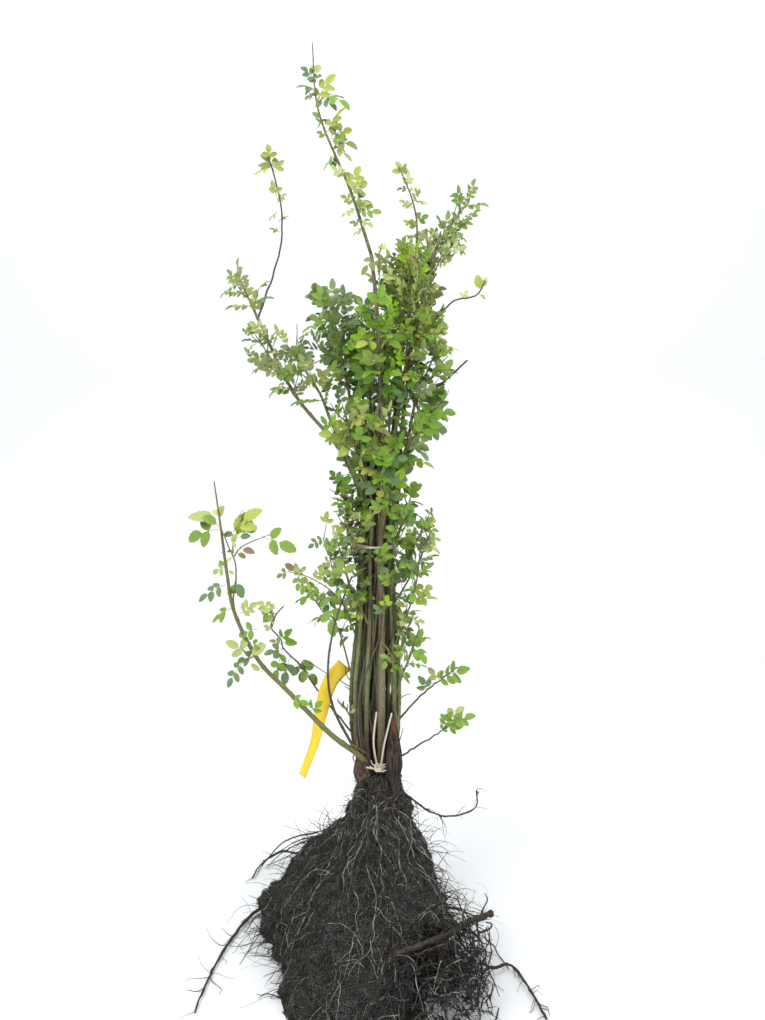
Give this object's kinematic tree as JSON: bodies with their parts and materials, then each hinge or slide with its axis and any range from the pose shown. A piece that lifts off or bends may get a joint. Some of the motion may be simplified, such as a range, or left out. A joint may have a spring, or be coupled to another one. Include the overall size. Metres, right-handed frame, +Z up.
{
  "type": "rose bush",
  "caption": "Young leafy rose bush: a tied sheaf of slender canes rising from one spreading root ball, with a bough arching low to the left.",
  "frame": {"origin": "on the flat underside of the root ball, straight below the collar where the canes begin", "axes": "+Z up along the canes, +X to the right as the bush is seen from the front, -Y towards that viewer"},
  "size_m": [0.3676, 0.3107, 0.9596],
  "materials": {
    "soil": "near-black soil matted with pale fine roots",
    "root": "matt grey-brown root",
    "old_bark": "rough dark red-brown bark",
    "cane": "smooth olive-green bark with a few thorns",
    "tan_cane": "smooth tan-brown bark",
    "leaf": "satin mid-green leaflets",
    "young_leaf": "satin yellow-green young leaflets",
    "deep_leaf": "satin blue-green leaflets",
    "twine": "pale straw-coloured twine",
    "label": "bright yellow plastic film"
  },
  "bodies": {
    "root": {"root_ball": "soil", "cane_tall": "tan_cane", "cane_low_right": "cane", "cane_right": "cane", "cane_right_back": "cane", "cane_thin": "cane", "cane_back": "cane", "cane_left_back": "cane", "cane_left_high": "cane", "cane_left_second": "cane", "cane_low_left": "cane", "cane_right_top": "cane", "cane_centre_back": "cane", "cane_left_front": "cane", "cane_centre_right": "cane", "cane_centre": "cane", "low_left_bough": "cane", "low_left_bough_top": "cane", "left_arching_twig": "old_bark", "right_bare_twig": "old_bark", "old_stump": "old_bark", "root_left_long": "root", "root_left_upper": "root", "root_right_broken": "root", "root_right_front": "root", "root_right_dry": "root", "tie_upper": "twine", "tie_foot": "twine", "label_strip": "label", "leaves_tall": "young_leaf", "leaves_right_top": "young_leaf", "leaves_thin": "young_leaf", "leaves_crown_right_back": "leaf", "leaves_crown_upper": "leaf", "leaves_crown_right": "leaf", "leaves_crown_left": "deep_leaf", "leaves_crown_left_back": "deep_leaf", "leaves_crown_centre": "leaf", "leaves_crown_centre_back": "leaf", "leaves_crown_back": "deep_leaf", "leaves_crown_front": "leaf", "leaves_low_left": "leaf", "leaves_low_right": "deep_leaf", "leaves_low_front": "leaf", "leaves_low_back": "leaf", "leaves_left_head": "young_leaf", "leaves_left_middle": "leaf", "leaves_left_whip": "young_leaf", "leaves_left_second": "leaf", "leaves_tie_left": "leaf", "leaves_tie_right": "leaf", "leaves_lower_right": "leaf", "leaves_lower_left": "leaf", "leaves_left_twig": "leaf", "leaves_low_left_head": "leaf", "leaves_low_left_side": "young_leaf", "leaves_low_left_middle": "leaf", "leaves_right_twig": "leaf", "leaves_right_foot_twig": "young_leaf", "leaves_right_curved_twig": "young_leaf"}
  },
  "joints": []
}
